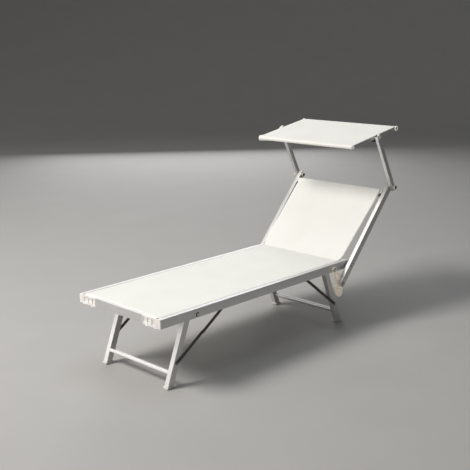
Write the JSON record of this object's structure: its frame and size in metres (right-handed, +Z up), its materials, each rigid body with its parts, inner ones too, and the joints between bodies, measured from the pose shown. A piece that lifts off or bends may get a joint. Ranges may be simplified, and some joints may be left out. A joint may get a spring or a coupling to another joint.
{
  "type": "sun lounger with canopy",
  "caption": "Folding sun lounger with a tube frame, stretched sheet bed, reclining backrest held by slotted racks, and a tilting fabric canopy on swinging arms.",
  "frame": {"origin": "on the ground in the middle of the object's length and width", "axes": "+X across the lounger to its right side, seen from the head end, +Y from the foot end to the head end, +Z up"},
  "size_m": [0.7406, 1.7505, 1.075],
  "materials": {
    "aluminium": "satin, drawn tube",
    "fabric": "coated woven mesh",
    "white_plastic": "moulded",
    "cream_plastic": "moulded",
    "grey_plastic": "moulded",
    "dark_steel": "dark painted strip",
    "steel": "zinc plated",
    "dark_plastic": "moulded"
  },
  "bodies": {
    "bed_frame": {"rail_left": "aluminium", "rail_right": "aluminium", "foot_bar": "aluminium", "head_bar": "aluminium", "corner_cap_left": "white_plastic", "corner_cap_right": "white_plastic", "rail_plug_left": "grey_plastic", "rail_plug_right": "grey_plastic", "bed_sling": "fabric", "front_leg_bolt_left": "steel", "front_leg_bolt_right": "steel", "rear_leg_bolt_left": "steel", "rear_leg_bolt_right": "steel", "backrest_bolt_left": "steel", "backrest_bolt_right": "steel", "front_rail_rivet_left": "steel", "front_rail_rivet_right": "steel", "rear_rail_rivet_left": "steel", "rear_rail_rivet_right": "steel"},
    "front_legs": {"front_leg_left": "aluminium", "front_leg_right": "aluminium", "front_leg_bar": "aluminium", "front_foot_left": "grey_plastic", "front_foot_right": "grey_plastic", "front_leg_rivet_left": "steel", "front_leg_rivet_right": "steel"},
    "front_upper_stays": {"front_upper_stay_left": "dark_steel", "front_upper_stay_right": "dark_steel"},
    "front_lower_stays": {"front_lower_stay_left": "dark_steel", "front_lower_stay_right": "dark_steel"},
    "rear_legs": {"rear_leg_left": "aluminium", "rear_leg_right": "aluminium", "rear_leg_bar": "aluminium", "rear_foot_left": "grey_plastic", "rear_foot_right": "grey_plastic", "rear_leg_rivet_left": "steel", "rear_leg_rivet_right": "steel"},
    "rear_upper_stays": {"rear_upper_stay_left": "dark_steel", "rear_upper_stay_right": "dark_steel"},
    "rear_lower_stays": {"rear_lower_stay_left": "dark_steel", "rear_lower_stay_right": "dark_steel"},
    "backrest": {"backrest_tube_left": "aluminium", "backrest_tube_right": "aluminium", "top_bar": "aluminium", "backrest_sling": "fabric", "tail_pin_left": "steel", "tail_pin_right": "steel"},
    "racks": {"rack_left": "cream_plastic", "rack_right": "cream_plastic"},
    "canopy_arms": {"canopy_arm_left": "aluminium", "canopy_arm_right": "aluminium"},
    "canopy": {"canopy_bar_left": "aluminium", "canopy_bar_right": "aluminium", "canopy_front_tube": "aluminium", "canopy_back_tube": "aluminium", "canopy_fabric": "fabric"},
    "arm_knob_left_body": {"arm_knob_left": "dark_plastic"},
    "arm_knob_right_body": {"arm_knob_right": "dark_plastic"},
    "canopy_knob_left_body": {"canopy_knob_left": "dark_plastic"},
    "canopy_knob_right_body": {"canopy_knob_right": "dark_plastic"}
  },
  "joints": [
    {"name": "front_leg_fold", "type": "hinge", "parent": "bed_frame", "child": "front_legs", "pos_m": [0, -0.64926, 0.345], "axis": [1, 0, 0], "range_deg": [0, 111]},
    {"name": "front_upper_stay_swing", "type": "hinge", "parent": "bed_frame", "child": "front_upper_stays", "pos_m": [0, -0.39126, 0.345], "axis": [1, 0, 0], "range_deg": [-33.49, 0.01]},
    {"name": "front_lower_stay_swing", "type": "hinge", "parent": "front_legs", "child": "front_lower_stays", "pos_m": [0, -0.73706, 0.11627], "axis": [1, 0, 0], "range_deg": [-0.01, 35.53]},
    {"name": "rear_leg_fold", "type": "hinge", "parent": "bed_frame", "child": "rear_legs", "pos_m": [0, 0.35874, 0.345], "axis": [-1, 0, 0], "range_deg": [0, 111]},
    {"name": "rear_upper_stay_swing", "type": "hinge", "parent": "bed_frame", "child": "rear_upper_stays", "pos_m": [0, 0.15074, 0.345], "axis": [-1, 0, 0], "range_deg": [-37.72, 0.01]},
    {"name": "rear_lower_stay_swing", "type": "hinge", "parent": "rear_legs", "child": "rear_lower_stays", "pos_m": [0, 0.44654, 0.11627], "axis": [-1, 0, 0], "range_deg": [-0.01, 31.3]},
    {"name": "backrest_recline", "type": "hinge", "parent": "bed_frame", "child": "backrest", "pos_m": [0, 0.47674, 0.351], "axis": [1, 0, 0], "range_deg": [-30, 25]},
    {"name": "rack_swing", "type": "hinge", "parent": "bed_frame", "child": "racks", "pos_m": [0, 0.35874, 0.345], "axis": [1, 0, 0], "range_deg": [-15.01, 12.51]},
    {"name": "canopy_arm_swing", "type": "hinge", "parent": "backrest", "child": "canopy_arms", "pos_m": [0, 0.82469, 0.73743], "axis": [1, 0, 0], "range_deg": [-70, 60]},
    {"name": "canopy_tilt", "type": "hinge", "parent": "canopy_arms", "child": "canopy", "pos_m": [0, 0.67288, 1.03157], "axis": [1, 0, 0], "range_deg": [-60, 45]},
    {"name": "arm_knob_turn_left", "type": "hinge", "parent": "canopy_arms", "child": "arm_knob_left_body", "pos_m": [-0.363, 0.82469, 0.73743], "axis": [-1, 0, 0], "range_deg": [0, 360]},
    {"name": "canopy_knob_turn_left", "type": "hinge", "parent": "canopy", "child": "canopy_knob_left_body", "pos_m": [-0.309, 0.67288, 1.03157], "axis": [1, 0, 0], "range_deg": [0, 360]},
    {"name": "arm_knob_turn_right", "type": "hinge", "parent": "canopy_arms", "child": "arm_knob_right_body", "pos_m": [0.363, 0.82469, 0.73743], "axis": [1, 0, 0], "range_deg": [0, 360]},
    {"name": "canopy_knob_turn_right", "type": "hinge", "parent": "canopy", "child": "canopy_knob_right_body", "pos_m": [0.309, 0.67288, 1.03157], "axis": [-1, 0, 0], "range_deg": [0, 360]}
  ],
  "couplings": [
    {"joint": "front_upper_stay_swing", "follows": "front_leg_fold", "ratio": -0.30164},
    {"joint": "front_lower_stay_swing", "follows": "front_leg_fold", "ratio": 0.31998},
    {"joint": "rear_upper_stay_swing", "follows": "rear_leg_fold", "ratio": -0.33976},
    {"joint": "rear_lower_stay_swing", "follows": "rear_leg_fold", "ratio": 0.28186},
    {"joint": "rack_swing", "follows": "backrest_recline", "ratio": 0.5}
  ]
}
